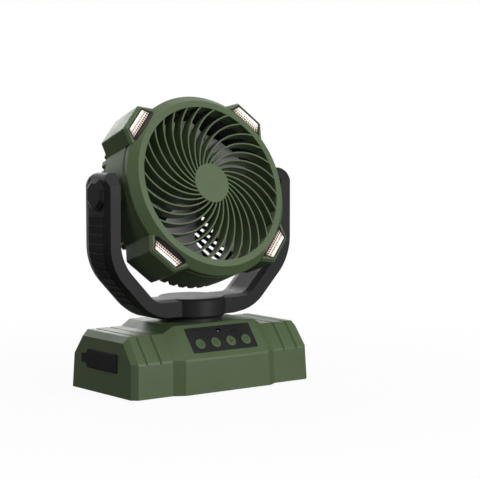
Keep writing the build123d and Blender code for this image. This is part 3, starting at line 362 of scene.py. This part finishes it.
# ------------------------------------------------------------------ impeller and rear guard
def impeller_blades(count=5, rows=26, columns=44, half_thickness=0.8):
    """Wide twisted blades, each a closed skin over a grid of radius and of a loop round the blade's section.

    At radius r the section runs from the front edge, at angle a_front(r) and height w_front(r), to the back edge at
    a_back(r) and w_back(r), all four taken from a short table. Round the loop, phi goes from 0 to 2 pi: the place
    along the chord is s = (1 - cos phi) / 2, and the skin stands half_thickness * sign(sin phi) * |sin phi|^0.5 off
    the middle. The chord bulges forward by 6 s (1 - s) mm, the front corner of the tip is cut back by up to 5 mm in
    a curve, and the skin closes on itself at the tip and inside the hub.
    """
    table = np.array([
        # r, a_front, w_front, a_back, w_back
        (19, -92, 17.0, 32, -9.5),
        (25, -90, 16.8, 22, -9.2),
        (31, -87, 16.2, 0, -9.0),
        (37, -81.5, 15.0, -17, -8.5),
        (47, -78, 13.2, -19, -8.0),
        (58, -75, 11.8, -16, -7.0),
        (67, -72.5, 10.8, -13.5, -6.5),
        (75, -68, 10.0, -12, -6.0),
    ])
    root = table[0, 0]
    share = np.linspace(0, 1, rows) ** 0.85                # rows a little closer together towards the tip
    r = root + (IMPELLER_TIP - root) * share
    a_front, w_front, a_back, w_back = (np.interp(r, table[:, 0], table[:, k])[:, None] for k in (1, 2, 3, 4))
    phi = np.arange(columns) * 2 * np.pi / columns
    s = (1 - np.cos(phi))[None] / 2
    skin = half_thickness * np.sign(np.sin(phi)) * np.sqrt(np.abs(np.sin(phi)))
    closing = np.ones(rows)
    closing[[0, -1]] = 0
    radius = r[:, None] - 5.0 * share[:, None] ** 6 * np.clip(1 - s / 0.18, 0, 1) ** 2
    w = w_front + (w_back - w_front) * s + 6.0 * s * (1 - s) + skin[None] * closing[:, None]
    turn = np.arange(count)[:, None, None] * 2 * np.pi / count
    angle = np.radians(a_front + (a_back - a_front) * s)[None] + turn
    points = head_point(radius[None] * np.cos(angle), radius[None] * np.sin(angle), np.tile(w, (count, 1, 1)))
    one = grid_faces(rows, columns, wrap_columns=True)
    faces = (one[None] + rows * columns * np.arange(count)[:, None, None]).reshape(-1, 4)
    return points.reshape(-1, 3), faces


def rounded(r, w, radius, start, stop, steps=5):
    """Points of a quarter-round in a turned outline, about the centre (r, w), angles in degrees."""
    t = np.radians(np.linspace(start, stop, steps))
    return list(zip(r + radius * np.cos(t), w + radius * np.sin(t)))


hub = turned([(SHAFT, IMPELLER_FRONT),
              *rounded(IMPELLER_HUB - HUB_ROUND, IMPELLER_FRONT - HUB_ROUND, HUB_ROUND, 90, 0),
              (IMPELLER_HUB, IMPELLER_BACK), (MOTOR_ROOM, IMPELLER_BACK), (MOTOR_ROOM, MOTOR_ROOM_FRONT),
              (SHAFT, MOTOR_ROOM_FRONT)])
close_up(make_piece("impeller_moulding", *gather([hub, impeller_blades()]), "rotor", "grey_plastic",
                    finish["grey_plastic"], replaces=["impeller"]))


def guard_row(middle, count, first, reach=7.8, slot_width=4.7, slant=25.0):
    """The bars of one row of slanted slots.

    The slots' middle lines turn by tan(slant) * (r - middle) / middle. A bar stands in the middle between two slots,
    and its half angle is half the slots' pitch less half a slot's width round the axis, slot_width / cos(slant).
    """
    r = middle + np.linspace(-reach / 2 - BAR_ROOT, reach / 2 + BAR_ROOT, 4)
    line = np.tan(np.radians(slant)) * (r - middle) / middle
    half = np.pi / count - slot_width / math.cos(math.radians(slant)) / 2 / r
    centre = np.radians(first) + (np.arange(count) + 0.5)[:, None] * 2 * np.pi / count + line[None]
    left, right = centre - half, centre + half
    low, high = np.full_like(left, GUARD_BACK), np.full_like(left, GUARD_BACK + GUARD_PLATE)
    corner = [(left, low), (right, low), (right, high), (left, high)]
    return bars(np.stack([np.stack([r * np.cos(a), r * np.sin(a), w], -1) for a, w in corner], 2))


# how many slots a row has, and the angle of its first one
guard_rows = [(12, -40.0), (28, -55.7), (36, -54.0), (43, -52.6), (52, -51.4)]
guard_parts = [guard_row(GUARD_FIRST_ROW + k * GUARD_ROW_PITCH, *row) for k, row in enumerate(guard_rows)]
# rings between the rows; the first runs into the motor seat and the last into the rim
for k in range(len(guard_rows) + 1):
    inner = GUARD_FIRST_ROW + (k - 0.5) * GUARD_ROW_PITCH - GUARD_RIB / 2
    outer = inner + GUARD_RIB
    if k == 0:
        inner = GUARD_SEAT - 1
    if k == len(guard_rows):
        outer = GUARD_RIM_OUTER - 0.5
    guard_parts.append(turned([(inner, GUARD_BACK), (outer, GUARD_BACK), (outer, GUARD_BACK + GUARD_PLATE),
                               (inner, GUARD_BACK + GUARD_PLATE)]))
guard_parts.append(turned([(0, GUARD_BACK), (GUARD_SEAT, GUARD_BACK), (GUARD_SEAT, GUARD_SEAT_FRONT),
                           (0, GUARD_SEAT_FRONT)]))
# the guard takes the black that carries the duct's painted shade
close_up(make_piece("rear_guard_slotted", *gather(guard_parts), "fan_head", "black_plastic", matt_black_with_duct_shade,
                    replaces=["rear_grille"]))


def toothed_rim(count=52, first=2.0):
    """The rim round the guard and its teeth: each tooth is a bar from the rim outwards, narrower at its tip."""
    rim = turned([(GUARD_RIM_INNER, GUARD_BACK + 0.6), (GUARD_RIM_INNER + 0.6, GUARD_BACK),
                  (GUARD_RIM_OUTER - 0.8, GUARD_BACK), (GUARD_RIM_OUTER, GUARD_BACK + 0.8),
                  (GUARD_RIM_OUTER, GUARD_FRONT), (GUARD_RIM_INNER, GUARD_FRONT)], 208)
    r = np.array([GUARD_RIM_OUTER - 1.0, GUARD_TEETH_REACH - 1.2, GUARD_TEETH_REACH - 0.4])
    half = np.array([4.1, 3.1, 2.6]) / r                   # half angles at the root, the shoulder and the tip
    centre = np.radians(first) + np.arange(count)[:, None] * 2 * np.pi / count + np.zeros(3)
    low = np.tile([GUARD_BACK + 0.2, GUARD_BACK + 0.7, GUARD_BACK + 1.4], (count, 1))
    high = np.full((count, 3), GUARD_FRONT)
    corner = [(centre - half, low), (centre + half, low), (centre + half, high), (centre - half, high)]
    return gather([rim, bars(np.stack([np.stack([r * np.cos(a), r * np.sin(a), w], -1) for a, w in corner], 2))])


close_up(make_piece("rear_toothed_rim", *toothed_rim(), "fan_head", "green_plastic", finish["green_plastic"]))

# ------------------------------------------------------------------ signs on the buttons
def band(path, width):
    """Left and right borders of a flat line along a path of (x, s) points.

    Each point moves by half the width to either side, square to the mean of the path's directions before it and
    after it.
    """
    step = np.diff(path, axis=0)
    ahead, before = np.concatenate([step, step[-1:]]), np.concatenate([step[:1], step])
    run = ahead / np.linalg.norm(ahead, axis=1)[:, None] + before / np.linalg.norm(before, axis=1)[:, None]
    run /= np.linalg.norm(run, axis=1)[:, None]
    side = np.stack([-run[:, 1], run[:, 0]], -1) * width / 2
    return path + side, path - side


def sign(name, lines, centre_x, body):
    """A raised line sign on a button's face: each line a box of SIGN_LINE by SIGN_RISE, swept along its path."""
    low, high = BUTTON_STAND - SIGN_ROOT, BUTTON_STAND + SIGN_RISE
    boxes = []
    for path in lines:
        left, right = band(np.array(path, float), SIGN_LINE)
        edges = [panel_point(centre_x + border[:, 0], BUTTON_RISE + border[:, 1], n)
                 for border, n in ((left, low), (left, high), (right, high), (right, low))]
        boxes.append((np.stack(edges, 1).reshape(-1, 3), bar_faces(len(path))))
    close_up(make_piece(name, *gather(boxes), body, "green_plastic", finish["button_sign"], smooth=False))


def arc(radius, start, stop, steps=28, centre=(0, 0)):
    """Points round a circle, angles in degrees."""
    t = np.radians(np.linspace(start, stop, steps))
    return np.stack([centre[0] + radius * np.cos(t), centre[1] + radius * np.sin(t)], -1)


signs = {
    "timer": [arc(2.9, 150, 400, 30), [(0, 1.2), (0, 0), (1.1, 0)]],
    "power": [arc(2.1, 125, 415, 26), [(0, 2.7), (0, 0.5)]],
    "speed": [arc(1.25, turn, turn + 210, 12, arc(1.35, turn, turn, 1)[0]) for turn in (90, 210, 330)],
    "light": [arc(1.9, -50, 230, 22, (0, 0.7)), [(-0.9, -1.6), (0.9, -1.6)], [(-0.7, -2.6), (0.7, -2.6)]],
}
for k, (name, lines) in enumerate(signs.items()):
    sign("sign_" + name, lines, (k - 1.5) * BUTTON_PITCH, "button_" + name + "_key")

# ------------------------------------------------------------------ ground, light and camera
# white paper that keeps the fan's shadow: within 0.2 m of the middle a little of its own shading shows, and beyond
# 0.6 m it is plain white; it throws no light on the fan and isn't mirrored in it
ground_material, tree, shader = new_material("white_studio_paper")
tree.nodes.remove(shader)
place = add(tree, "ShaderNodeTexCoord").outputs["Object"]
reach = add(tree, "ShaderNodeVectorMath", {0: place}, operation="LENGTH")
fade = add(tree, "ShaderNodeMapRange", {"Value": reach.outputs["Value"], "From Min": 0.2, "From Max": 0.6,
                                        "To Min": 0.94, "To Max": 1.0})
paper = add(tree, "ShaderNodeBsdfDiffuse", {"Color": colour("#f4f4f4")})
glow = add(tree, "ShaderNodeEmission", {"Color": (1, 1, 1, 1), "Strength": 1.0})
seen = add(tree, "ShaderNodeLightPath")
direct = add(tree, "ShaderNodeMath", {0: seen.outputs["Is Camera Ray"], 1: seen.outputs["Is Glossy Ray"]},
             operation="MAXIMUM")
share = add(tree, "ShaderNodeMath", {0: direct.outputs[0], 1: fade.outputs[0]}, operation="MULTIPLY")
both = add(tree, "ShaderNodeMixShader", {0: share.outputs[0], 1: paper.outputs[0], 2: glow.outputs[0]})
output = next(n for n in tree.nodes if n.type == "OUTPUT_MATERIAL")
tree.links.new(both.outputs[0], output.inputs["Surface"])

side = 3.0
ground_mesh = bpy.data.meshes.new("ground")
ground_mesh.from_pydata([(-side, -side, 0), (side, -side, 0), (side, side, 0), (-side, side, 0)], [], [(0, 1, 2, 3)])
ground_mesh.materials.append(ground_material)
ground = bpy.data.objects.new("ground", ground_mesh)
bpy.context.scene.collection.objects.link(ground)
ground.visible_diffuse = False
ground.visible_glossy = False

world = bpy.data.worlds.new("studio")
world.use_nodes = True
bpy.context.scene.world = world
tree = world.node_tree
tree.nodes.clear()
# a white sweep stands behind the fan, and the rest of the room is dim: gloss shows the sweep towards the back only
seen = add(tree, "ShaderNodeLightPath")
way = add(tree, "ShaderNodeTexCoord").outputs["Generated"]
towards_back = add(tree, "ShaderNodeVectorMath", {0: way, 1: (0.28, 0.92, 0.27)}, operation="DOT_PRODUCT")
sweep = add(tree, "ShaderNodeMapRange", {"Value": towards_back.outputs["Value"], "From Min": 0.62, "From Max": 0.9,
                                         "To Min": 0.03, "To Max": 1.0})
room = add(tree, "ShaderNodeBackground", {"Color": (1, 1, 1, 1), "Strength": 0.07})
gloss_room = add(tree, "ShaderNodeBackground", {"Color": (1, 1, 1, 1), "Strength": sweep.outputs[0]})
white = add(tree, "ShaderNodeBackground", {"Color": (1, 1, 1, 1), "Strength": 1.0})
lit = add(tree, "ShaderNodeMixShader",
          {0: seen.outputs["Is Glossy Ray"], 1: room.outputs[0], 2: gloss_room.outputs[0]})
direct = add(tree, "ShaderNodeMath", {0: seen.outputs["Is Camera Ray"], 1: seen.outputs["Is Transmission Ray"]},
             operation="MAXIMUM")
both = add(tree, "ShaderNodeMixShader", {0: direct.outputs[0], 1: lit.outputs[0], 2: white.outputs[0]})
add(tree, "ShaderNodeOutputWorld", {"Surface": both.outputs[0]})


def soft_box(name, place, power, size=0.9, target=(0, 0, 0.14)):
    """A square area lamp that faces its target."""
    data = bpy.data.lights.new(name, "AREA")
    data.shape = "SQUARE"
    data.size = size
    data.energy = power
    lamp = bpy.data.objects.new(name, data)
    lamp.location = place
    lamp.rotation_euler = (Vector(target) - Vector(place)).to_track_quat("-Z", "Y").to_euler()
    bpy.context.scene.collection.objects.link(lamp)


soft_box("front_box", (0.6, -2.0, 0.68), 25)
soft_box("front_left_box", (-0.9, -1.8, 0.8), 2)
soft_box("overhead_box", (0.1, -0.2, 1.9), 12, size=1.0, target=(0, 0, 0.1))
soft_box("back_right_box", (0.6, 1.6, 0.9), 8)
soft_box("back_left_box", (-0.7, 1.6, 1.1), 3.2)
soft_box("left_box", (-2.0, 0.1, 0.8), 4)

CAMERA_AZIMUTH, CAMERA_ELEVATION = math.radians(-37.51), math.radians(4.91)
CAMERA_DISTANCE = 1.7445
AIM_RIGHT, AIM_HEIGHT = 0.0498, 0.1464 + FOOT * MM
FOCAL_SHARE = 1714.05 / 480
back = Vector((math.sin(CAMERA_AZIMUTH) * math.cos(CAMERA_ELEVATION),
               -math.cos(CAMERA_AZIMUTH) * math.cos(CAMERA_ELEVATION), math.sin(CAMERA_ELEVATION)))
right = Vector((math.cos(CAMERA_AZIMUTH), math.sin(CAMERA_AZIMUTH), 0))
lens = bpy.data.cameras.new("camera")
lens.sensor_width = 36.0
lens.sensor_fit = "HORIZONTAL"
lens.lens = 36.0 * FOCAL_SHARE
lens.clip_start = 0.05
camera = bpy.data.objects.new("camera", lens)
bpy.context.scene.collection.objects.link(camera)
camera.location = Vector((0, 0, AIM_HEIGHT)) + right * AIM_RIGHT + back * CAMERA_DISTANCE
camera.rotation_euler = (-back).to_track_quat("-Z", "Y").to_euler()
bpy.context.scene.camera = camera
bpy.context.scene.view_settings.view_transform = "Standard"
